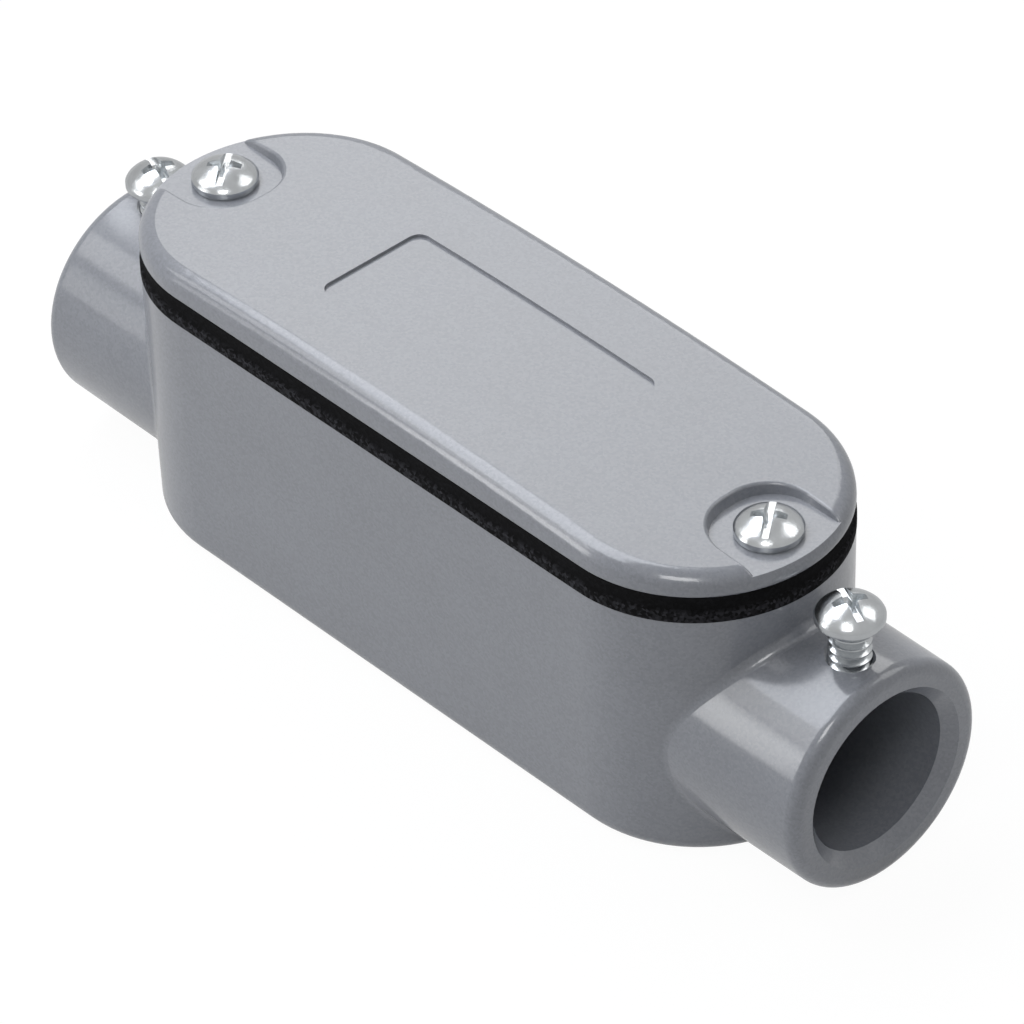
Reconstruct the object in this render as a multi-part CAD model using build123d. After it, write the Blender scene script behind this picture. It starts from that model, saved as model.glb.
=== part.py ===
from build123d import *

import os
from math import radians, sqrt, tan

# Conduit body with set-screw hubs, straight-through pattern, for half-inch thin-wall steel tube.
#
# A cast trough with a hub at each end takes a tube in each hub. A cast cover on a foam gasket closes
# the trough, and comes off to reach the wires. A set screw in the top of each hub clamps the tube.
#
# Millimetres. +Z points up out of the cover, +X along the hubs towards the right one. The origin is
# under the middle of the trough, on its flat back.

# Trough of the body casting
trough_length = 98.2
trough_width = 33.7
trough_height = 32.4
trough_wall = 2.3
trough_floor = 2.5
casting_draft = 1.0
back_edge_radius = 1.8
floor_corner_radius = 2.5

# Hubs of the body casting
hub_projection = 11.55
hub_axis_height = 14.1
hub_root_radius = 13.75
hub_mouth_radius = 13.57
hub_mouth_round = 1.5
hub_root_fillet = 1.2

# Sockets for the tube, with a stop and a rounded throat behind each
tube_diameter = 17.93
tube_clearance = 0.435
socket_depth = 17.0
lead_in_depth = 1.45
lead_in_flare = 1.38
throat_radius = 7.7
throat_round = 1.0
stop_thickness = 2.8
stop_wall_over_socket = 2.6

# Cover, thickest in the middle of its length
cover_end_overhang = 0.1
cover_side_inset = 0.1
cover_thickness = 3.95
cover_crown = 1.65
cover_draft = 3.0
cover_edge_round = 2.0
cover_lower_edge_round = 0.4
pocket_floor_thickness = 1.7
pocket_width = 12.3
pocket_to_screw = 5.85
pocket_corner_radius = 5.4
pocket_draft = 15.0
pocket_edge_round = 0.35
panel_length = 38.3
panel_width = 14.7
panel_depth = 0.35
panel_corner_radius = 1.5
relief_to_screw = 10.3
relief_rim = 4.75
relief_depth = 1.1

# Gasket
gasket_thickness = 3.2
gasket_overhang = 0.05
gasket_band = 3.6
gasket_pad_radius = 5.6

# Cover screws, number 8 machine screws with combination pan heads
cover_screw_to_trough_end = 5.8
cover_screw_length = 9.5
cover_screw_diameter = 4.16
cover_screw_head_diameter = 7.55
cover_screw_head_side = 1.0
cover_screw_head_dome = 1.6
cover_screw_boss_radius = 4.6
cover_screw_hole_spare_depth = 1.5
cover_screw_slot_turn = -52.0

# Set screws, number 10 machine screws with combination round heads
set_screw_to_mouth = 5.4
set_screw_length = 6.35
set_screw_diameter = 4.7
set_screw_head_diameter = 7.6
set_screw_head_side = 0.85
set_screw_head_dome = 1.95
set_screw_standoff_right = 5.0
set_screw_standoff_left = 2.9
set_screw_countersink = 0.45
set_screw_slot_turn_right = -23.0
set_screw_slot_turn_left = -17.0

# Recess in every screw head
slot_width = 1.15
slot_depth_share = 0.42
cross_arm_width = 1.25
cross_span = 4.4
cross_depth_share = 0.6
tip_chamfer = 0.5

# Clearances
thread_clearance = 0.05
cover_hole_clearance = 0.25
gasket_hole_clearance = 0.35

# How far cutters run past the surface that they open, and how near a point counts as on a surface
overrun = 1.0
tolerance = 0.02

# Derived sizes and heights
socket_radius = tube_diameter / 2 + tube_clearance
mouth_x = trough_length / 2 + hub_projection
trough_end_centre_x = (trough_length - trough_width) / 2
stop_x = mouth_x - socket_depth
throat_end_x = stop_x - stop_thickness
set_screw_x = mouth_x - set_screw_to_mouth
cover_screw_x = trough_length / 2 - cover_screw_to_trough_end
cavity_width = trough_width - 2 * trough_wall
cover_length = trough_length + 2 * cover_end_overhang
cover_width = trough_width - 2 * cover_side_inset
gasket_bottom_z = trough_height
cover_bottom_z = gasket_bottom_z + gasket_thickness
cover_top_z = cover_bottom_z + cover_thickness
pocket_floor_z = cover_bottom_z + pocket_floor_thickness
crown_radius = ((cover_length / 2) ** 2 + cover_crown ** 2) / (2 * cover_crown)


def stadium(length, width, height):
    """A plate outline with half-round ends, lying flat at a height."""
    return Pos(0, 0, height) * SlotOverall(length, width)


def drafted_trough(length, width, bottom_z, top_z):
    """A stadium block that is length by width at top_z and narrows down to bottom_z by the casting draft."""
    narrowing = 2 * (top_z - bottom_z) * tan(radians(casting_draft))
    foot = stadium(length - narrowing, width - narrowing, bottom_z)
    return extrude(foot, amount=top_z - bottom_z, taper=-casting_draft)


def turned(outline, axis_origin, axis_direction):
    """A solid of revolution from a closed outline."""
    return revolve(make_face(outline), Axis(axis_origin, axis_direction))


def both_ends(right_shape):
    """A shape at the right end together with its mirror image at the left end."""
    return right_shape + mirror(right_shape, about=Plane.YZ)


def upright_cylinder(radius, bottom_z, top_z, x):
    """A vertical cylinder at a place on the middle line."""
    return extrude(Pos(x, 0, bottom_z) * Circle(radius), amount=top_z - bottom_z)


def hub():
    """The right hub: a slightly tapered round boss with a rounded mouth edge."""
    z = hub_axis_height
    outline = Polyline(
        (trough_end_centre_x, 0, z),
        (trough_end_centre_x, 0, z + hub_root_radius),
        (mouth_x, 0, z + hub_mouth_radius),
        (mouth_x, 0, z),
        close=True,
    )
    boss = turned(outline, (0, 0, z), (1, 0, 0))
    mouth_edge = boss.edges().filter_by(GeomType.CIRCLE).sort_by(Axis.X)[-1]
    return fillet(mouth_edge, hub_mouth_round)


def hub_core():
    """What the right hub's bore removes: flared lead-in, socket, stop, throat and rounded throat lip."""
    z = hub_axis_height
    past_mouth = mouth_x + overrun
    inner_end = cover_screw_x - cover_screw_boss_radius - overrun
    lead_in_end = mouth_x - lead_in_depth
    flare_past_mouth = lead_in_flare * (past_mouth - lead_in_end) / lead_in_depth
    lip_inset = throat_round * (1 - sqrt(0.5))
    lip_start = (throat_end_x, 0, z + throat_radius + throat_round)
    lip_middle = (throat_end_x + lip_inset, 0, z + throat_radius + lip_inset)
    lip_end = (throat_end_x + throat_round, 0, z + throat_radius)
    lip = ThreePointArc(lip_start, lip_middle, lip_end)
    runs = Polyline(
        lip_end,
        (stop_x, 0, z + throat_radius),
        (stop_x, 0, z + socket_radius),
        (lead_in_end, 0, z + socket_radius),
        (past_mouth, 0, z + socket_radius + flare_past_mouth),
        (past_mouth, 0, z),
        (inner_end, 0, z),
        (inner_end, 0, z + throat_radius + throat_round),
        lip_start,
    )
    return turned(lip + runs, (0, 0, z), (1, 0, 0))


def end_block():
    """Solid metal that fills the right end of the cavity around the hub's throat, arched over the top."""
    arch_radius = socket_radius + stop_wall_over_socket
    arch = Circle(arch_radius)
    skirt = Pos(0, -hub_axis_height / 2) * Rectangle(2 * arch_radius, hub_axis_height)
    face = Plane(origin=(throat_end_x, 0, hub_axis_height), x_dir=(0, 1, 0), z_dir=(1, 0, 0)) * (arch + skirt)
    return extrude(face, amount=mouth_x - throat_end_x)


def screw_boss():
    """The column at the right end that the cover screw goes into, from the hub's axis up to the rim."""
    return upright_cylinder(cover_screw_boss_radius, hub_axis_height, trough_height, cover_screw_x)


def cavity():
    """The wiring space of the trough, left open at the top, with the end blocks and bosses standing in it."""
    space = drafted_trough(trough_length - 2 * trough_wall, cavity_width, trough_floor, trough_height)
    floor_edges = space.faces().sort_by(Axis.Z)[0].edges()
    space = fillet(floor_edges, floor_corner_radius)
    space -= both_ends(end_block() + screw_boss())
    return space


def hub_top_z(x):
    """Height of the hub's crown at a distance from the middle, along its taper."""
    share = (abs(x) - trough_end_centre_x) / (mouth_x - trough_end_centre_x)
    return hub_axis_height + hub_root_radius + share * (hub_mouth_radius - hub_root_radius)


def set_screw_hole():
    """The right hub's tapped hole with a small countersink at the hub's crown."""
    radius = set_screw_diameter / 2 + thread_clearance
    surface_z = hub_top_z(set_screw_x)
    top_z = surface_z + set_screw_countersink
    outline = Polyline(
        (set_screw_x, 0, hub_axis_height),
        (set_screw_x + radius, 0, hub_axis_height),
        (set_screw_x + radius, 0, surface_z - set_screw_countersink),
        (set_screw_x + radius + 2 * set_screw_countersink, 0, top_z),
        (set_screw_x, 0, top_z),
        close=True,
    )
    return turned(outline, (set_screw_x, 0, 0), (0, 0, 1))


def cover_screw_hole():
    """The right boss's tapped hole, blind, a little deeper than the screw reaches."""
    radius = cover_screw_diameter / 2 + thread_clearance
    bottom_z = pocket_floor_z - cover_screw_length - cover_screw_hole_spare_depth
    return upright_cylinder(radius, bottom_z, trough_height + overrun, cover_screw_x)


def near_hub_surface(point):
    """True where a point lies on a hub's tapered outside."""
    reach = sqrt(point.Y ** 2 + (point.Z - hub_axis_height) ** 2)
    return abs(reach - (hub_top_z(point.X) - hub_axis_height)) < tolerance


def root_edges(solid):
    """The edges where the hubs run into the trough's ends."""
    end_x = trough_length / 2 + hub_root_fillet
    found = []
    for edge in solid.edges():
        box = edge.bounding_box()
        nearest = min(abs(box.min.X), abs(box.max.X))
        farthest = max(abs(box.min.X), abs(box.max.X))
        on_hub = all(near_hub_surface(edge @ share) for share in (0.1, 0.5, 0.9))
        if nearest > trough_end_centre_x and farthest < end_x and on_hub:
            found.append(edge)
    return found


def body_casting():
    """Trough and hubs in one casting, hollowed by the cavity, the hub bores and four tapped holes."""
    trough = drafted_trough(trough_length, trough_width, 0, trough_height)
    back_edges = trough.faces().sort_by(Axis.Z)[0].edges()
    outer = fillet(back_edges, back_edge_radius) + both_ends(hub())
    casting = fillet(root_edges(outer), hub_root_fillet)
    casting -= cavity()
    casting -= both_ends(hub_core())
    casting -= both_ends(set_screw_hole() + cover_screw_hole())
    return casting


def under_crown(depth):
    """All that lies lower than a depth under the cover's crowned top, which is an arc along X."""
    centre_z = cover_top_z - crown_radius
    disc = Plane(origin=(0, 0, centre_z), x_dir=(1, 0, 0), z_dir=(0, -1, 0)) * Circle(crown_radius - depth)
    return extrude(disc, amount=cover_width, both=True)


def crown_z(x):
    """Height of the cover's crowned top at a distance from the middle."""
    return cover_top_z - crown_radius + sqrt(crown_radius ** 2 - x ** 2)


def is_on_crown(edge):
    """True for an edge that lies in the crowned top."""
    return all(abs((edge @ share).Z - crown_z((edge @ share).X)) < tolerance for share in (0.1, 0.5, 0.9))


def pocket_cutter():
    """What the right pocket removes: a rounded square end about the screw, running straight out over the rim."""
    inner_x = cover_screw_x - pocket_to_screw
    outer_x = cover_length / 2 + pocket_corner_radius + overrun
    outline = RectangleRounded(outer_x - inner_x, pocket_width, pocket_corner_radius)
    floor_face = Pos((inner_x + outer_x) / 2, 0, pocket_floor_z) * outline
    return extrude(floor_face, amount=cover_thickness, taper=-pocket_draft)


def is_pocket_lip(edge):
    """True for the pockets' upper edges in the crowned top."""
    middle = edge @ 0.5
    past_panel = abs(middle.X) > panel_length / 2 + overrun
    over_pocket = abs(middle.Y) < pocket_width / 2 + overrun
    return is_on_crown(edge) and past_panel and over_pocket


def panel_cutter():
    """What the shallow panel removes: its floor follows the crown."""
    outline = RectangleRounded(panel_length, panel_width, panel_corner_radius)
    placed = Pos(0, 0, cover_bottom_z) * outline
    return extrude(placed, amount=cover_thickness + overrun) - under_crown(panel_depth)


def cover():
    """Plate with a crowned top, round edges, a recessed panel, a relieved underside and open-ended screw pockets."""
    outline = stadium(cover_length, cover_width, cover_bottom_z)
    plate = extrude(outline, amount=cover_thickness + overrun, taper=cover_draft) & under_crown(0)
    plate = fillet([edge for edge in plate.edges() if is_on_crown(edge)], cover_edge_round)
    plate = fillet(plate.faces().sort_by(Axis.Z)[0].edges(), cover_lower_edge_round)
    relief = stadium(2 * (cover_screw_x - relief_to_screw), cover_width - 2 * relief_rim, cover_bottom_z)
    plate -= extrude(relief, amount=relief_depth)
    plate -= panel_cutter()
    plate -= both_ends(pocket_cutter())
    hole_radius = cover_screw_diameter / 2 + cover_hole_clearance
    plate -= both_ends(upright_cylinder(hole_radius, cover_bottom_z - overrun, cover_top_z, cover_screw_x))
    plate = fillet([edge for edge in plate.edges() if is_pocket_lip(edge)], pocket_edge_round)
    return plate


def gasket():
    """Flat ring that follows the rim, widened to a pad round each cover screw."""
    length = trough_length + 2 * gasket_overhang
    width = trough_width + 2 * gasket_overhang
    outer = stadium(length, width, gasket_bottom_z)
    opening = stadium(length - 2 * gasket_band, width - 2 * gasket_band, gasket_bottom_z)
    opening -= both_ends(Pos(cover_screw_x, 0, gasket_bottom_z) * Circle(gasket_pad_radius))
    ring = extrude(outer - opening, amount=gasket_thickness)
    hole_radius = cover_screw_diameter / 2 + gasket_hole_clearance
    ring -= both_ends(upright_cylinder(hole_radius, gasket_bottom_z, cover_bottom_z, cover_screw_x))
    return ring


def screw(head_diameter, head_side, head_dome, shank_diameter, length):
    """A machine screw standing on the origin by the underside of its head, its slot along X."""
    head_radius = head_diameter / 2
    shank_radius = shank_diameter / 2
    head_height = head_side + head_dome
    sphere_radius = (head_radius ** 2 + head_dome ** 2) / (2 * head_dome)
    with BuildPart() as made:
        with BuildSketch(Plane.XZ):
            with BuildLine():
                tip = (0, -length)
                chamfer_start = (shank_radius - tip_chamfer, -length)
                chamfer_end = (shank_radius, -length + tip_chamfer)
                Polyline(tip, chamfer_start, chamfer_end, (shank_radius, 0), (head_radius, 0), (head_radius, head_side))
                RadiusArc((head_radius, head_side), (0, head_height), -sphere_radius)
                Line((0, head_height), tip)
            make_face()
        revolve(axis=Axis.Z)
        slot_depth = head_height * slot_depth_share
        cross_depth = head_height * cross_depth_share
        with Locations((0, 0, head_height)):
            top = (Align.CENTER, Align.CENTER, Align.MAX)
            Box(head_diameter + overrun, slot_width, slot_depth, align=top, mode=Mode.SUBTRACT)
            Box(cross_arm_width, cross_span, cross_depth, align=top, mode=Mode.SUBTRACT)
            Box(cross_span, cross_arm_width, cross_depth, align=top, mode=Mode.SUBTRACT)
    return made.part


def cover_screw(side):
    """The cover screw at one end, its head down on the pocket's floor."""
    made = screw(
        cover_screw_head_diameter,
        cover_screw_head_side,
        cover_screw_head_dome,
        cover_screw_diameter,
        cover_screw_length,
    )
    return Pos(side * cover_screw_x, 0, pocket_floor_z) * Rot(0, 0, cover_screw_slot_turn) * made


def set_screw(side, standoff, slot_turn):
    """The set screw of one hub, its head standing clear of the hub's crown."""
    made = screw(
        set_screw_head_diameter,
        set_screw_head_side,
        set_screw_head_dome,
        set_screw_diameter,
        set_screw_length,
    )
    return Pos(side * set_screw_x, 0, hub_top_z(set_screw_x) + standoff) * Rot(0, 0, slot_turn) * made


def main():
    """Build every piece and write one file for each."""
    pieces = {
        "body_casting": body_casting(),
        "cover_gasket": gasket(),
        "cover": cover(),
        "cover_screw_right": cover_screw(1),
        "cover_screw_left": cover_screw(-1),
        "set_screw_right": set_screw(1, set_screw_standoff_right, set_screw_slot_turn_right),
        "set_screw_left": set_screw(-1, set_screw_standoff_left, set_screw_slot_turn_left),
    }
    os.makedirs("parts", exist_ok=True)
    for name, piece in pieces.items():
        export_step(piece, f"parts/{name}.step")


main()
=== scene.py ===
# Finish for a set-screw conduit body: enamelled die casting, foam gasket and zinc-plated screws, with a studio stage.
#
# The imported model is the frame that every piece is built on. Lengths are in metres. +Z points up out of the
# cover, +X along the hubs towards the right one, and the body's flat back lies on the floor at Z 0.

import math

import bmesh
import bpy
from bpy.props import FloatProperty, FloatVectorProperty, IntProperty, PointerProperty
from mathutils import Matrix, Vector


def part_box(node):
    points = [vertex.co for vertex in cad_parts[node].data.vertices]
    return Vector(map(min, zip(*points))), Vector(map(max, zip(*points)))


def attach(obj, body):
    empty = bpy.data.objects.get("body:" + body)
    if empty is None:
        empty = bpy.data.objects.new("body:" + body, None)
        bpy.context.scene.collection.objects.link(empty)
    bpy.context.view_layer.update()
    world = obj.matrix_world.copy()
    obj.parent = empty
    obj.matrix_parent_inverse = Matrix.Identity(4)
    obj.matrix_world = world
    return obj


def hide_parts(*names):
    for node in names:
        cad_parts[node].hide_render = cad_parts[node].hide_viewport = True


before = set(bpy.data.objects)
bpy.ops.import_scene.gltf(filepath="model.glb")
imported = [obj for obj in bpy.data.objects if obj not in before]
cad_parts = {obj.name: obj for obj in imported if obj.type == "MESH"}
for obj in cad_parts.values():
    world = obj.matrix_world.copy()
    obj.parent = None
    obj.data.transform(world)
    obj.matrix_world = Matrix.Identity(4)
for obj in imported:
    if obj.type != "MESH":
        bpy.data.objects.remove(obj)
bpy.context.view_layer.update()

bl_info = {
    "name": "Conduit Body Finish",
    "version": (1, 0, 0),
    "blender": (4, 5, 0),
    "location": "3D View > Sidebar > Conduit",
    "description": "Enamel, foam gasket, threaded screws and a studio stage for a packed conduit body",
    "category": "Object",
}

MM = 0.001

# Tolerances in metres. Points this near count as one, or as lying on a cut, and a point this far above is above it.
TURNED_MERGE = 1e-7
THREAD_MERGE = 2e-7
PACKED_MERGE = 2e-6
THREAD_CUT = 1e-8
GASKET_CUT = 1e-7
JUST_ABOVE = 1e-6

# Screw sizes that stay as they are. The exact booleans fail at some sizes close to these and to the settings' ones.
COVER_HEAD_HEIGHT = 2.51 * MM
COVER_SHANK_RADIUS = 2.08 * MM
SET_HEAD_HEIGHT = 2.72 * MM
SET_SHANK_RADIUS = 2.35 * MM
HEAD_EASE = 0.12 * MM
DOME_STEPS = 16
DOME_DRAW_IN = 0.998
THREAD_DEPTH_SHARE = 0.6
SPARE_TURNS = 3
SHANK_INTO_HEAD = 0.3 * MM
TIP_CHAMFER = 0.5 * MM
TIP_CLEARANCE = 0.01 * MM
RECESS_ABOVE_CROWN = 0.5 * MM
SLOT_OVERRUN = 1 * MM
SLOT_EASE = 0.18 * MM
WING_TIP_SHARE = 0.8
CROSS_MOUTH_SHARE = 0.93
CROSS_FLOOR_SHARE = 0.34
SCREW_SHARP_ANGLE = math.radians(32)

# The gasket's ledge rises by this share of the lip, and its outer wall is what lies this near the outline.
LEDGE_SHARE = 0.4
OUTER_WALL = 0.2 * MM
GASKET_SHARP_ANGLE = math.radians(28)

# The stage, in metres but for the camera's sensor in millimetres.
FLOOR_HALF = 3.0
LAMP_AIM = (0, 0, 0.02)
LAMP_DISTANCE = 0.9
CAMERA_LAMP_DISTANCE = 0.95
STRIP_PLACE = (-0.155, -0.28, 0.105)
STRIP_AIM = (0.05, -0.012, 0.024)
SENSOR_WIDTH = 36
WHITE = (1, 1, 1, 1)


def linear(hex_colour):
    """The linear red, green and blue of an sRGB hex colour."""
    values = [int(hex_colour[i : i + 2], 16) / 255 for i in (1, 3, 5)]
    return tuple(v / 12.92 if v <= 0.04045 else ((v + 0.055) / 1.055) ** 2.4 for v in values)


def cells_per_metre(size_mm):
    """The texture scale whose cells are a real size in millimetres."""
    return 1000 / size_mm


class ConduitColours(bpy.types.PropertyGroup):
    """Colours of the finishes."""

    enamel: FloatVectorProperty(
        name="Enamel",
        description="Grey baked enamel on the casting and the cover",
        subtype="COLOR",
        min=0,
        max=1,
        default=linear("#888B92"),
    )
    foam: FloatVectorProperty(
        name="Foam",
        description="Black sponge rubber of the gasket",
        subtype="COLOR",
        min=0,
        max=1,
        default=linear("#151517"),
    )
    zinc: FloatVectorProperty(
        name="Zinc plate",
        description="Bright zinc on the screws",
        subtype="COLOR",
        min=0,
        max=1,
        default=linear("#CDD0D2"),
    )
    floor: FloatVectorProperty(
        name="Floor",
        description="Pale studio floor",
        subtype="COLOR",
        min=0,
        max=1,
        default=linear("#E8E8E8"),
    )


class ConduitScrews(bpy.types.PropertyGroup):
    """Sizes that the screws take from their trade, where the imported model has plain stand-ins."""

    cover_pitch: FloatProperty(
        name="Cover screw pitch",
        description="Thread pitch of the number 8 cover screws",
        unit="LENGTH",
        default=0.794 * MM,
        precision=6,
    )
    cover_side: FloatProperty(
        name="Cover screw side",
        description="Height of the straight side of a cover screw's head",
        unit="LENGTH",
        default=0.9 * MM,
        precision=6,
    )
    set_pitch: FloatProperty(
        name="Set screw pitch",
        description="Thread pitch of the number 10 set screws",
        unit="LENGTH",
        default=1.058 * MM,
        precision=6,
    )
    set_side: FloatProperty(
        name="Set screw side",
        description="Height of the straight side of a set screw's head",
        unit="LENGTH",
        default=0.77 * MM,
        precision=6,
    )
    slot_width: FloatProperty(
        name="Slot width",
        description="Width of the driving slot",
        unit="LENGTH",
        default=1.0 * MM,
        precision=6,
    )
    slot_depth: FloatProperty(
        name="Slot depth",
        description="Depth of the driving slot under the head's crown",
        unit="LENGTH",
        default=1.0 * MM,
        precision=6,
    )
    cross_span: FloatProperty(
        name="Cross span",
        description="Tip to tip width of the cross recess at the crown",
        unit="LENGTH",
        default=4.9 * MM,
        precision=6,
    )
    cross_width: FloatProperty(
        name="Cross wing width",
        description="Width of one wing of the cross recess",
        unit="LENGTH",
        default=1.35 * MM,
        precision=6,
    )
    cross_depth: FloatProperty(
        name="Cross depth",
        description="Depth of the cross recess under the head's crown",
        unit="LENGTH",
        default=1.75 * MM,
        precision=6,
    )
    turn_right_cover: FloatProperty(
        name="Right cover screw turn",
        description="Angle of its slot from the X axis",
        subtype="ANGLE",
        default=math.radians(-52),
    )
    turn_left_cover: FloatProperty(
        name="Left cover screw turn",
        description="Angle of its slot from the X axis",
        subtype="ANGLE",
        default=math.radians(-52),
    )
    turn_right_set: FloatProperty(
        name="Right set screw turn",
        description="Angle of its slot from the X axis",
        subtype="ANGLE",
        default=math.radians(-23),
    )
    turn_left_set: FloatProperty(
        name="Left set screw turn",
        description="Angle of its slot from the X axis",
        subtype="ANGLE",
        default=math.radians(-17),
    )
    steps: IntProperty(name="Steps", description="Steps round one turn of a screw", default=64, min=16, max=128)


class ConduitGasket(bpy.types.PropertyGroup):
    """The gasket's edge as the tightened cover leaves it."""

    lip: FloatProperty(
        name="Lip",
        description="How far the gasket's lower edge stands out past the rest of its wall",
        unit="LENGTH",
        default=0.3 * MM,
        precision=6,
    )
    lip_share: FloatProperty(
        name="Lip share",
        description="Share of the gasket's thickness that stands out",
        subtype="FACTOR",
        min=0,
        max=1,
        default=0.42,
    )


class ConduitStage(bpy.types.PropertyGroup):
    """Camera and light of the studio."""

    azimuth: FloatProperty(
        name="Azimuth",
        description="Camera's turn round the object from the front",
        subtype="ANGLE",
        default=math.radians(48.905),
    )
    elevation: FloatProperty(
        name="Elevation",
        description="Camera's height above the floor",
        subtype="ANGLE",
        default=math.radians(38.885),
    )
    roll: FloatProperty(
        name="Roll",
        description="Camera's turn about its own line of sight",
        subtype="ANGLE",
        default=math.radians(-2.2263),
    )
    distance: FloatProperty(
        name="Distance",
        description="From the camera to its aim point",
        unit="LENGTH",
        default=0.79566,
    )
    lens: FloatProperty(
        name="Lens",
        description="Focal length on a 36 mm sensor",
        unit="CAMERA",
        default=258.027,
    )
    aim: FloatVectorProperty(
        name="Aim point",
        description="Point in the middle of the picture",
        subtype="TRANSLATION",
        default=(0.0049105, -0.0018317, 0.0188784),
    )
    overhead: FloatProperty(
        name="Overhead light",
        description="Power of the long overhead softbox on the left",
        unit="POWER",
        default=4.6,
    )
    back: FloatProperty(
        name="Back light",
        description="Power of the softbox behind on the left",
        unit="POWER",
        default=1.1,
    )
    front: FloatProperty(
        name="Front light",
        description="Power of the softbox at the left front",
        unit="POWER",
        default=0.7,
    )
    low: FloatProperty(
        name="Low light",
        description="Power of the low softbox at the left front",
        unit="POWER",
        default=0.3,
    )
    rear: FloatProperty(
        name="Rear light",
        description="Power of the softbox behind on the right",
        unit="POWER",
        default=1.1,
    )
    key: FloatProperty(
        name="Camera light",
        description="Power of the small softbox over the camera",
        unit="POWER",
        default=1.6,
    )
    tint: FloatVectorProperty(
        name="Lamp tint",
        description="Colour of the overhead light",
        subtype="COLOR",
        min=0,
        max=2,
        default=(0.96, 0.99, 1.05),
    )
    strip: FloatProperty(
        name="Strip light",
        description="Power of the near strip whose reflection lies along the right hub",
        unit="POWER",
        default=0.12,
    )
    glow: FloatProperty(
        name="Surroundings",
        description="How bright the white studio looks in reflections",
        default=0.6,
    )
    fill: FloatProperty(name="Fill", description="Strength of the even light from all round", default=0.07)


def add_node(tree, kind, settings=None, values=None, links=None):
    """A node of a kind with its settings, its socket values and its incoming links."""
    node = tree.nodes.new(kind)
    for name, value in (settings or {}).items():
        setattr(node, name, value)
    for socket, value in (values or {}).items():
        node.inputs[socket].default_value = value
    for socket, source in (links or {}).items():
        tree.links.new(source, node.inputs[socket])
    return node


def new_material(name):
    """An empty node material with its output node and the object's own coordinates."""
    material = bpy.data.materials.new(name)
    material.use_nodes = True
    tree = material.node_tree
    tree.nodes.clear()
    output = add_node(tree, "ShaderNodeOutputMaterial")
    place = add_node(tree, "ShaderNodeTexCoord").outputs["Object"]
    return material, tree, output, place


def shade(colour, factor):
    """A lighter or darker tone of a colour, with full alpha."""
    return tuple(min(1, c * factor) for c in colour) + (1,)


def enamel_material(colour):
    """Grey baked enamel on die-cast aluminium: even satin colour, faint orange peel and a fine aluminium fleck."""
    material, tree, output, place = new_material("baked_enamel_on_die_cast_aluminium")
    # The fleck is drawn at 0.28 mm, a few times its real grain, so that it shows.
    fleck = add_node(
        tree, "ShaderNodeTexVoronoi", {"feature": "F1"}, {"Scale": cells_per_metre(0.28)}, {"Vector": place}
    )
    fleck_value = add_node(tree, "ShaderNodeSeparateColor", None, None, {"Color": fleck.outputs["Color"]})
    # Uneven film thickness over some 9 mm gives a barely cloudy surface.
    cloud = add_node(
        tree, "ShaderNodeTexNoise", None, {"Scale": cells_per_metre(9), "Detail": 2.0}, {"Vector": place}
    )
    tone = add_node(
        tree, "ShaderNodeMapRange", None, {"To Min": 0.2, "To Max": 0.8}, {"Value": fleck_value.outputs["Red"]}
    )
    tone = add_node(
        tree,
        "ShaderNodeMath",
        {"operation": "MULTIPLY_ADD"},
        {1: 0.5},
        {0: cloud.outputs["Fac"], 2: tone.outputs["Result"]},
    )
    tone = add_node(
        tree,
        "ShaderNodeMath",
        {"operation": "SUBTRACT", "use_clamp": True},
        {1: 0.25},
        {0: tone.outputs["Value"]},
    )
    base = add_node(
        tree,
        "ShaderNodeMix",
        {"data_type": "RGBA"},
        {"A": shade(colour, 0.87), "B": shade(colour, 1.13)},
        {"Factor": tone.outputs["Value"]},
    )
    gloss = add_node(
        tree, "ShaderNodeMapRange", None, {"To Min": 0.36, "To Max": 0.46}, {"Value": cloud.outputs["Fac"]}
    )
    # Orange peel: ripples 0.9 mm apart, and grit of 0.25 mm from the casting under the film.
    peel = add_node(
        tree, "ShaderNodeTexNoise", None, {"Scale": cells_per_metre(0.9), "Detail": 1.0}, {"Vector": place}
    )
    grit = add_node(
        tree, "ShaderNodeTexNoise", None, {"Scale": cells_per_metre(0.25), "Detail": 2.0}, {"Vector": place}
    )
    height = add_node(
        tree,
        "ShaderNodeMath",
        {"operation": "MULTIPLY_ADD"},
        {1: 0.35},
        {0: grit.outputs["Fac"], 2: peel.outputs["Fac"]},
    )
    bump = add_node(
        tree,
        "ShaderNodeBump",
        None,
        {"Strength": 0.35, "Distance": 0.012 * MM},
        {"Height": height.outputs["Value"]},
    )
    shader = add_node(
        tree,
        "ShaderNodeBsdfPrincipled",
        None,
        {"Metallic": 0.0, "IOR": 1.45, "Coat Weight": 1.0, "Coat Roughness": 0.13, "Coat IOR": 1.58},
        {"Base Color": base.outputs["Result"], "Roughness": gloss.outputs["Result"], "Normal": bump.outputs["Normal"]},
    )
    tree.links.new(shader.outputs["BSDF"], output.inputs["Surface"])
    return material


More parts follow.
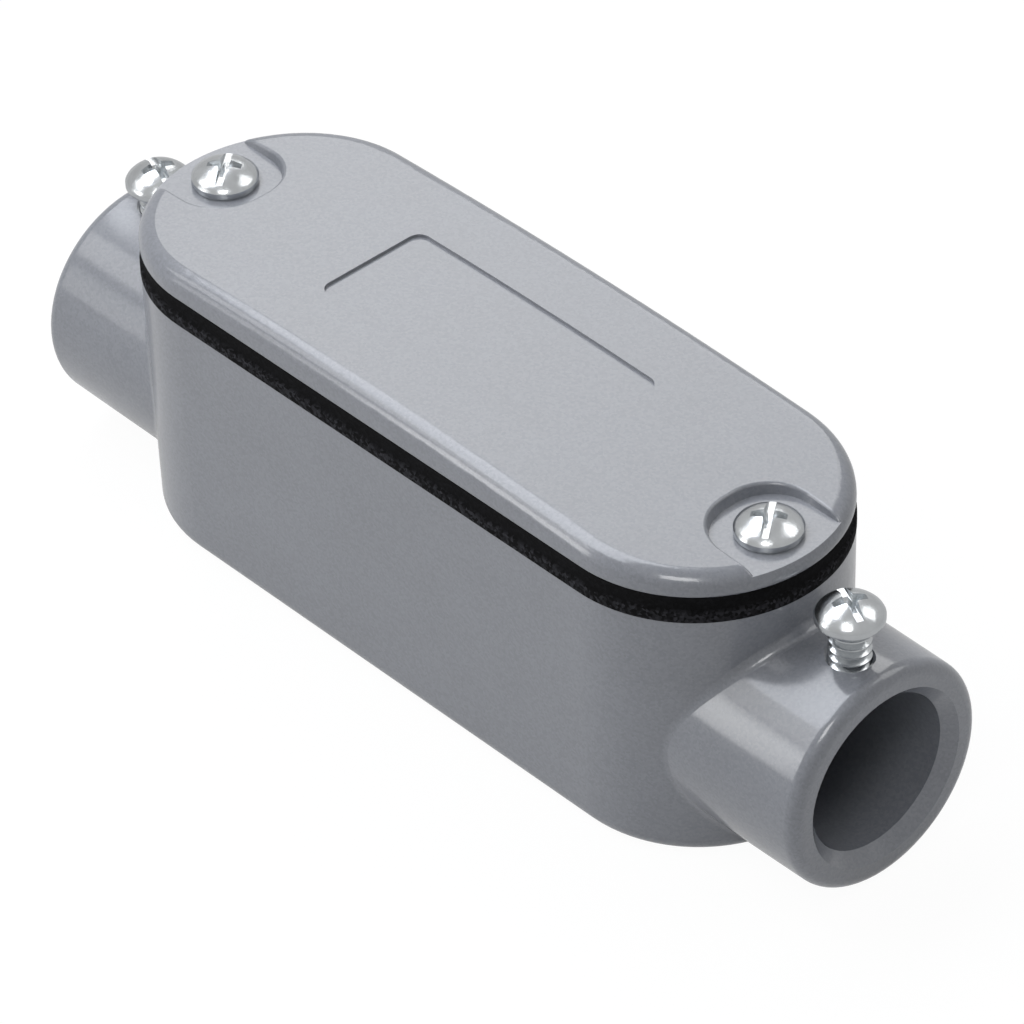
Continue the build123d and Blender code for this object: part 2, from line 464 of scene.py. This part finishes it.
def foam_material(colour, lip_z):
    """Black closed-cell sponge rubber: dull, with cut cells 0.34 mm wide that show as specks on the lip below lip_z.
    Above the lip the specks are muted, as painted shade under the cover's edge.
    """
    material, tree, output, place = new_material("closed_cell_sponge_rubber")
    cells = add_node(
        tree, "ShaderNodeTexVoronoi", {"feature": "F1"}, {"Scale": cells_per_metre(0.34)}, {"Vector": place}
    )
    cell_tone = add_node(tree, "ShaderNodeSeparateColor", None, None, {"Color": cells.outputs["Color"]})
    speck = add_node(
        tree, "ShaderNodeMapRange", None, {"From Min": 0.35, "From Max": 1.0}, {"Value": cell_tone.outputs["Red"]}
    )
    height = add_node(tree, "ShaderNodeSeparateXYZ", None, None, {"Vector": place})
    # The specks fade out over 0.3 mm of height round the lip's upper edge, to an eighth of their strength above it, so
    # the wall above the lip is painted darker, as shade under the cover's edge.
    painted_shade_above_lip = add_node(
        tree,
        "ShaderNodeMapRange",
        None,
        {"From Min": lip_z + 0.2 * MM, "From Max": lip_z - 0.1 * MM, "To Min": 0.12},
        {"Value": height.outputs["Z"]},
    )
    tone = add_node(
        tree,
        "ShaderNodeMath",
        {"operation": "MULTIPLY"},
        None,
        {0: speck.outputs["Result"], 1: painted_shade_above_lip.outputs["Result"]},
    )
    base = add_node(
        tree,
        "ShaderNodeMix",
        {"data_type": "RGBA"},
        {"A": shade(colour, 0.4), "B": shade(colour, 5)},
        {"Factor": tone.outputs["Value"]},
    )
    bump = add_node(
        tree,
        "ShaderNodeBump",
        None,
        {"Strength": 0.7, "Distance": 0.06 * MM},
        {"Height": cells.outputs["Distance"]},
    )
    shader = add_node(
        tree,
        "ShaderNodeBsdfPrincipled",
        None,
        {"Roughness": 0.9, "Specular IOR Level": 0.15},
        {"Base Color": base.outputs["Result"], "Normal": bump.outputs["Normal"]},
    )
    tree.links.new(shader.outputs["BSDF"], output.inputs["Surface"])
    return material


def zinc_material(colour):
    """Bright zinc electroplate on rolled and stamped steel: mirror-like, with fine stamping pits and faint patches."""
    material, tree, output, place = new_material("bright_zinc_plated_steel")
    pits = add_node(
        tree, "ShaderNodeTexNoise", None, {"Scale": cells_per_metre(0.55), "Detail": 3.0}, {"Vector": place}
    )
    patches = add_node(
        tree, "ShaderNodeTexNoise", None, {"Scale": cells_per_metre(1.6), "Detail": 2.0}, {"Vector": place}
    )
    gloss = add_node(
        tree, "ShaderNodeMapRange", None, {"To Min": 0.14, "To Max": 0.3}, {"Value": patches.outputs["Fac"]}
    )
    base = add_node(
        tree,
        "ShaderNodeMix",
        {"data_type": "RGBA"},
        {"A": shade(colour, 0.84), "B": shade(colour, 1.08)},
        {"Factor": patches.outputs["Fac"]},
    )
    bump = add_node(
        tree, "ShaderNodeBump", None, {"Strength": 0.6, "Distance": 0.04 * MM}, {"Height": pits.outputs["Fac"]}
    )
    shader = add_node(
        tree,
        "ShaderNodeBsdfPrincipled",
        None,
        {"Metallic": 1.0},
        {"Base Color": base.outputs["Result"], "Roughness": gloss.outputs["Result"], "Normal": bump.outputs["Normal"]},
    )
    tree.links.new(shader.outputs["BSDF"], output.inputs["Surface"])
    return material


def paper_material(colour, glow):
    """Matt white paper: it takes a faint shadow, and looks plain white to the camera and in reflections."""
    material, tree, output, _ = new_material("matt_white_paper")
    paper = add_node(tree, "ShaderNodeBsdfDiffuse", None, {"Color": tuple(colour) + (1,)})
    path = add_node(tree, "ShaderNodeLightPath")
    seen = path.outputs["Is Camera Ray"]
    mirrored = add_node(
        tree,
        "ShaderNodeMath",
        {"operation": "MAXIMUM"},
        None,
        {0: path.outputs["Is Glossy Ray"], 1: path.outputs["Is Transmission Ray"]},
    )
    # The camera sees 0.93 of the glowing white and 0.07 of the shadowed paper, and reflections 0.8 and 0.2.
    camera_part = add_node(tree, "ShaderNodeMath", {"operation": "MULTIPLY"}, {1: 0.93}, {0: seen})
    share = add_node(
        tree,
        "ShaderNodeMath",
        {"operation": "MULTIPLY_ADD"},
        {1: 0.8},
        {0: mirrored.outputs["Value"], 2: camera_part.outputs["Value"]},
    )
    strength = add_node(tree, "ShaderNodeMapRange", None, {"To Min": glow, "To Max": 1.03}, {"Value": seen})
    white = add_node(tree, "ShaderNodeEmission", None, {"Color": WHITE}, {"Strength": strength.outputs["Result"]})
    mix = add_node(
        tree,
        "ShaderNodeMixShader",
        None,
        None,
        {"Fac": share.outputs["Value"], 1: paper.outputs["BSDF"], 2: white.outputs["Emission"]},
    )
    tree.links.new(mix.outputs["Shader"], output.inputs["Surface"])
    return material


def give_material(piece, material):
    """Puts a material on a piece in place of those it has."""
    piece.data.materials.clear()
    piece.data.materials.append(material)


def object_from(made, name):
    """A new object at the origin from a bmesh, which is freed."""
    bmesh.ops.recalc_face_normals(made, faces=made.faces)
    mesh = bpy.data.meshes.new(name)
    made.to_mesh(mesh)
    made.free()
    piece = bpy.data.objects.new(name, mesh)
    bpy.context.scene.collection.objects.link(piece)
    return piece


def line_through(made, points):
    """The vertices and edges of an open line through points given by their distance from the Z axis and height."""
    verts = [made.verts.new((r, 0, z)) for r, z in points]
    return verts + [made.edges.new(pair) for pair in zip(verts, verts[1:])]


def turned(points, steps):
    """A closed bmesh turned about the Z axis from a half section that starts and ends on the axis."""
    made = bmesh.new()
    line = line_through(made, points)
    bmesh.ops.spin(made, geom=line, cent=(0, 0, 0), axis=(0, 0, 1), angle=2 * math.pi, steps=steps, use_merge=True)
    bmesh.ops.remove_doubles(made, verts=made.verts, dist=TURNED_MERGE)
    return made


def head_section(radius, side, height):
    """Half section of a domed head that stands on Z 0, with eased rims."""
    dome = height - side
    sphere = (radius**2 + dome**2) / (2 * dome)
    start = math.asin(radius / sphere)
    section = [
        (0, 0),
        (radius - HEAD_EASE, 0),
        (radius - HEAD_EASE * 0.3, HEAD_EASE * 0.3),
        (radius, HEAD_EASE),
        (radius, side - HEAD_EASE),
    ]
    # The dome is drawn in by a hair from the side, and its last point is set on the axis.
    for i in range(1, DOME_STEPS + 1):
        angle = start * (1 - i / DOME_STEPS)
        height_here = side + sphere * math.cos(angle) - (sphere - dome)
        section.append((sphere * math.sin(angle) * DOME_DRAW_IN, height_here))
    section[-1] = (0, height)
    return section


def threaded_shank(radius, pitch, length, steps):
    """A threaded shank from just inside the head at Z 0 down to a chamfered tip."""
    root = radius - THREAD_DEPTH_SHARE * pitch
    turns = math.ceil((length + SPARE_TURNS * pitch) / pitch)
    # One pitch of the thread's outline: distance from the axis, and height as a share of the pitch.
    ridge = ((root, 0), (root, 0.14), (radius, 0.46), (radius, 0.6), (root, 0.92), (root, 1.0))
    thread = bmesh.new()
    bmesh.ops.spin(
        thread,
        geom=line_through(thread, [(r, share * pitch) for r, share in ridge]),
        cent=(0, 0, 0),
        axis=(0, 0, 1),
        angle=2 * math.pi * turns,
        steps=steps * turns,
        dvec=(0, 0, -pitch / steps),
    )
    bmesh.ops.remove_doubles(thread, verts=thread.verts, dist=THREAD_MERGE)
    for height, up in ((SHANK_INTO_HEAD, 1), (-length, -1)):
        geom = thread.verts[:] + thread.edges[:] + thread.faces[:]
        bmesh.ops.bisect_plane(
            thread, geom=geom, plane_co=(0, 0, height), plane_no=(0, 0, up), clear_outer=True, dist=THREAD_CUT
        )
    bmesh.ops.holes_fill(thread, edges=[e for e in thread.edges if e.is_boundary])
    rod = object_from(thread, "thread_blank")
    # A blank a fifth wider than the thread chamfers the tip at 45 degrees.
    above, below, wide = 1 * MM, -length - TIP_CLEARANCE, radius * 1.2
    blank = [
        (0, above),
        (wide, above),
        (wide, -length + TIP_CHAMFER + radius * 0.2),
        (radius - TIP_CHAMFER, below),
        (0, below),
    ]
    combine(rod, object_from(turned(blank, steps), "tip_blank"), "INTERSECT")
    return rod


def apply_modifiers(piece):
    """Makes a piece's modifiers part of its mesh."""
    bpy.context.view_layer.update()
    result = bpy.data.meshes.new_from_object(piece.evaluated_get(bpy.context.evaluated_depsgraph_get()))
    piece.modifiers.clear()
    piece.data = result


def combine(piece, other, operation):
    """Joins, cuts or crops a piece by another, which is used up."""
    modifier = piece.modifiers.new(operation.lower(), "BOOLEAN")
    modifier.operation = operation
    modifier.object = other
    modifier.solver = "EXACT"
    apply_modifiers(piece)
    spare = other.data
    bpy.data.objects.remove(other)
    bpy.data.meshes.remove(spare)


def slot_cutter(sizes, radius, top):
    """A bar across a head from its slot's eased floor up to a height above the crown."""
    made = bmesh.new()
    slot = bmesh.ops.create_cube(made, size=1.0)["verts"]
    slot_height = sizes.slot_depth + RECESS_ABOVE_CROWN
    middle = top - slot_height / 2
    bmesh.ops.scale(made, verts=slot, vec=(2 * radius + SLOT_OVERRUN, sizes.slot_width, slot_height))
    bmesh.ops.translate(made, verts=slot, vec=(0, 0, middle))
    low = [
        e
        for e in made.edges
        if all(v.co.z < middle for v in e.verts) and abs(e.verts[0].co.x - e.verts[1].co.x) > radius
    ]
    bmesh.ops.bevel(
        made,
        geom=low,
        offset=SLOT_EASE,
        offset_type="OFFSET",
        segments=3,
        profile=0.5,
        affect="EDGES",
        material=-1,
    )
    return object_from(made, "slot_blank")


def cross_cutter(sizes, top):
    """A tapered cross from its recess's floor up to a height above the crown."""
    made = bmesh.new()
    span, half = sizes.cross_span / 2, sizes.cross_width / 2
    outline = []
    for quarter in range(4):
        turn = Matrix.Rotation(quarter * math.pi / 2, 3, "Z")
        for x, y in ((span, -half * WING_TIP_SHARE), (span, half * WING_TIP_SHARE), (half, half)):
            outline.append(made.verts.new(turn @ Vector((x, y, top))))
    face = made.faces.new(outline)
    full = sizes.cross_depth + RECESS_ABOVE_CROWN
    for drop, share in ((RECESS_ABOVE_CROWN, CROSS_MOUTH_SHARE), (full, CROSS_FLOOR_SHARE)):
        out = bmesh.ops.extrude_face_region(made, geom=[face])
        face = [g for g in out["geom"] if isinstance(g, bmesh.types.BMFace)][0]
        lowered = list(face.verts)
        middle = Vector((0, 0, lowered[0].co.z))
        for vert in lowered:
            flat = (vert.co - middle) * share
            vert.co = Vector((flat.x, flat.y, top - drop))
    return object_from(made, "cross_blank")


def recess_cutter(sizes, radius, height):
    """The slot across a head and the tapered cross at its middle, as one cutter whose top is above the crown."""
    top = height + RECESS_ABOVE_CROWN
    cutter = slot_cutter(sizes, radius, top)
    combine(cutter, cross_cutter(sizes, top), "UNION")
    return cutter


def screw(name, node, sizes, pitch, side, height, shank_radius, turn):
    """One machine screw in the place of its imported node: domed head, combination recess and a real thread."""
    low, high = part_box(node)
    centre = (low + high) / 2
    head_radius = (high.x - low.x) / 2
    seat_z = high.z - height
    head = object_from(turned(head_section(head_radius, side, height), sizes.steps), name)
    combine(head, threaded_shank(shank_radius, pitch, seat_z - low.z, sizes.steps), "UNION")
    combine(head, recess_cutter(sizes, head_radius, height), "DIFFERENCE")
    head.data.transform(Matrix.Translation((centre.x, centre.y, seat_z)) @ Matrix.Rotation(turn, 4, "Z"))
    edit = bmesh.new()
    edit.from_mesh(head.data)
    bmesh.ops.remove_doubles(edit, verts=edit.verts, dist=THREAD_MERGE)
    for face in edit.faces:
        face.smooth = True
    for edge in edit.edges:
        edge.smooth = len(edge.link_faces) == 2 and edge.calc_face_angle(0) < SCREW_SHARP_ANGLE
    edit.to_mesh(head.data)
    edit.free()
    return head


class CONDUIT_OT_enamel(bpy.types.Operator):
    """Gives the casting and the cover their baked enamel."""

    bl_idname = "conduit.enamel"
    bl_label = "Enamel the castings"

    def execute(self, context):
        material = enamel_material(context.scene.conduit_colours.enamel)
        give_material(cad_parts["body_casting"], material)
        give_material(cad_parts["cover"], material)
        return {"FINISHED"}


class CONDUIT_OT_gasket(bpy.types.Operator):
    """Steps the gasket's outer wall in above its lip and gives it its sponge rubber."""

    bl_idname = "conduit.gasket"
    bl_label = "Finish the gasket"

    def execute(self, context):
        sizes = context.scene.conduit_gasket
        low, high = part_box("cover_gasket")
        lip_z = low.z + (high.z - low.z) * sizes.lip_share
        made = bmesh.new()
        made.from_mesh(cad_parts["cover_gasket"].data)
        bmesh.ops.remove_doubles(made, verts=made.verts, dist=PACKED_MERGE)
        for z in (lip_z, lip_z + sizes.lip * LEDGE_SHARE):
            geom = made.verts[:] + made.edges[:] + made.faces[:]
            bmesh.ops.bisect_plane(made, geom=geom, plane_co=(0, 0, z), plane_no=(0, 0, 1), dist=GASKET_CUT)
        # The outline is a stadium, so outwards is measured from the line between its two end centres.
        straight = high.x - high.y
        for vert in made.verts:
            past = math.copysign(max(0, abs(vert.co.x) - straight), vert.co.x)
            outwards = Vector((past, vert.co.y, 0))
            if vert.co.z > lip_z + JUST_ABOVE and outwards.length > high.y - OUTER_WALL:
                vert.co -= outwards.normalized() * sizes.lip
        gasket = object_from(made, "gasket_squeezed")
        gasket.data.polygons.foreach_set("use_smooth", [True] * len(gasket.data.polygons))
        gasket.data.set_sharp_from_angle(angle=GASKET_SHARP_ANGLE)
        give_material(gasket, foam_material(context.scene.conduit_colours.foam, lip_z))
        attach(gasket, "casting")
        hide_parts("cover_gasket")
        return {"FINISHED"}


class CONDUIT_OT_screws(bpy.types.Operator):
    """Makes the cover screws and set screws with combination recesses and real threads."""

    bl_idname = "conduit.screws"
    bl_label = "Make the screws"

    def execute(self, context):
        sizes = context.scene.conduit_screws
        material = zinc_material(context.scene.conduit_colours.zinc)
        cover_kind = (sizes.cover_pitch, sizes.cover_side, COVER_HEAD_HEIGHT, COVER_SHANK_RADIUS)
        set_kind = (sizes.set_pitch, sizes.set_side, SET_HEAD_HEIGHT, SET_SHANK_RADIUS)
        rows = (
            ("cover_screw_right", cover_kind, sizes.turn_right_cover),
            ("cover_screw_left", cover_kind, sizes.turn_left_cover),
            ("set_screw_right", set_kind, sizes.turn_right_set),
            ("set_screw_left", set_kind, sizes.turn_left_set),
        )
        for node, kind, turn in rows:
            piece = screw(node + "_threaded", node, sizes, *kind, turn)
            give_material(piece, material)
            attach(piece, node)
            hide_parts(node)
        return {"FINISHED"}


def area_lamp(name, size, power, place, aim=LAMP_AIM, colour=(1, 1, 1)):
    """A rectangular softbox that faces a point."""
    light = bpy.data.lights.new(name, "AREA")
    light.shape = "RECTANGLE"
    light.size, light.size_y = size
    light.energy = power
    light.color = colour
    lamp = bpy.data.objects.new(name, light)
    lamp.location = place
    lamp.rotation_euler = (Vector(aim) - Vector(place)).to_track_quat("-Z", "Y").to_euler()
    bpy.context.scene.collection.objects.link(lamp)


def from_side(azimuth, elevation, distance):
    """A place at a bearing round the object, where 0 is the front and 90 the right end."""
    a, e = math.radians(azimuth), math.radians(elevation)
    return (math.sin(a) * math.cos(e) * distance, -math.cos(a) * math.cos(e) * distance, math.sin(e) * distance)


def set_world(scene, settings):
    """A studio that is white to the camera, less bright in reflections and dim as a light on matt surfaces."""
    world = bpy.data.worlds.new("studio")
    scene.world = world
    world.use_nodes = True
    tree = world.node_tree
    tree.nodes.clear()
    path = add_node(tree, "ShaderNodeLightPath")
    seen = add_node(
        tree,
        "ShaderNodeMath",
        {"operation": "MAXIMUM"},
        None,
        {0: path.outputs["Is Camera Ray"], 1: path.outputs["Is Transmission Ray"]},
    )
    mirrored = add_node(
        tree,
        "ShaderNodeMapRange",
        None,
        {"To Min": settings.fill, "To Max": settings.glow},
        {"Value": path.outputs["Is Glossy Ray"]},
    )
    even = add_node(
        tree, "ShaderNodeBackground", None, {"Color": WHITE}, {"Strength": mirrored.outputs["Result"]}
    )
    white = add_node(tree, "ShaderNodeBackground", None, {"Color": WHITE, "Strength": 1.0})
    mix = add_node(
        tree,
        "ShaderNodeMixShader",
        None,
        None,
        {"Fac": seen.outputs["Value"], 1: even.outputs["Background"], 2: white.outputs["Background"]},
    )
    add_node(tree, "ShaderNodeOutputWorld", None, None, {"Surface": mix.outputs["Shader"]})


def set_lamps(settings):
    """Softboxes round the object, most of them at a bearing and an elevation in degrees."""
    area_lamp(
        "overhead_softbox",
        (0.85, 0.45),
        settings.overhead,
        from_side(280, 62, LAMP_DISTANCE),
        colour=settings.tint,
    )
    for name, size, power, azimuth, elevation in (
        ("back_softbox", (0.45, 0.4), settings.back, 222, 38),
        ("front_softbox", (0.45, 0.25), settings.front, 312, 38),
        ("low_softbox", (0.25, 0.3), settings.low, 322, 14),
        ("rear_softbox", (0.45, 0.45), settings.rear, 150, 45),
    ):
        area_lamp(name, size, power, from_side(azimuth, elevation, LAMP_DISTANCE))
    area_lamp("near_strip", (0.08, 0.16), settings.strip, STRIP_PLACE, STRIP_AIM)
    area_lamp("camera_softbox", (0.3, 0.3), settings.key, from_side(38, 50, CAMERA_LAMP_DISTANCE))


def set_camera(scene, settings):
    """The camera at its bearing and distance from the aim point, turned about its line of sight by the roll."""
    camera = bpy.data.cameras.new("camera")
    camera.lens = settings.lens
    camera.sensor_width = SENSOR_WIDTH
    camera.clip_start = 0.01
    camera.clip_end = 20
    seat = bpy.data.objects.new("camera", camera)
    back = Vector(from_side(math.degrees(settings.azimuth), math.degrees(settings.elevation), 1.0))
    right = Vector((math.cos(settings.azimuth), math.sin(settings.azimuth), 0))
    up = back.cross(right)
    turn = Matrix((right, up, back)).transposed() @ Matrix.Rotation(settings.roll, 3, "Z")
    seat.matrix_world = Matrix.Translation(Vector(settings.aim) + back * settings.distance) @ turn.to_4x4()
    scene.collection.objects.link(seat)
    scene.camera = seat


class CONDUIT_OT_stage(bpy.types.Operator):
    """Sets the floor, world, lamps and camera."""

    bl_idname = "conduit.stage"
    bl_label = "Set the stage"

    def execute(self, context):
        settings = context.scene.conduit_stage
        made = bmesh.new()
        bmesh.ops.create_grid(made, x_segments=1, y_segments=1, size=FLOOR_HALF)
        floor = object_from(made, "studio_floor")
        give_material(floor, paper_material(context.scene.conduit_colours.floor, settings.glow))
        set_world(context.scene, settings)
        set_lamps(settings)
        set_camera(context.scene, settings)
        context.scene.view_settings.view_transform = "Standard"
        return {"FINISHED"}


class CONDUIT_PT_panel(bpy.types.Panel):
    """Lists the operators and the settings of the finish."""

    bl_idname = "CONDUIT_PT_panel"
    bl_label = "Conduit body"
    bl_space_type = "VIEW_3D"
    bl_region_type = "UI"
    bl_category = "Conduit"

    def draw(self, context):
        scene = context.scene
        for operator in OPERATORS:
            self.layout.operator(operator.bl_idname)
        for group in (scene.conduit_colours, scene.conduit_gasket, scene.conduit_screws, scene.conduit_stage):
            box = self.layout.box()
            for name in group.__annotations__:
                box.prop(group, name)


OPERATORS = (CONDUIT_OT_enamel, CONDUIT_OT_gasket, CONDUIT_OT_screws, CONDUIT_OT_stage)
GROUPS = (ConduitColours, ConduitGasket, ConduitScrews, ConduitStage)


def register():
    """Registers the classes and hangs the settings on the scene."""
    for item in GROUPS + OPERATORS + (CONDUIT_PT_panel,):
        bpy.utils.register_class(item)
    bpy.types.Scene.conduit_colours = PointerProperty(type=ConduitColours)
    bpy.types.Scene.conduit_gasket = PointerProperty(type=ConduitGasket)
    bpy.types.Scene.conduit_screws = PointerProperty(type=ConduitScrews)
    bpy.types.Scene.conduit_stage = PointerProperty(type=ConduitStage)


def unregister():
    """Takes the settings and the classes away again."""
    del bpy.types.Scene.conduit_stage
    del bpy.types.Scene.conduit_screws
    del bpy.types.Scene.conduit_gasket
    del bpy.types.Scene.conduit_colours
    for item in reversed(GROUPS + OPERATORS + (CONDUIT_PT_panel,)):
        bpy.utils.unregister_class(item)


def main():
    """Makes every piece in turn."""
    register()
    bpy.ops.conduit.enamel()
    bpy.ops.conduit.gasket()
    bpy.ops.conduit.screws()
    bpy.ops.conduit.stage()


if __name__ == "__main__":
    main()
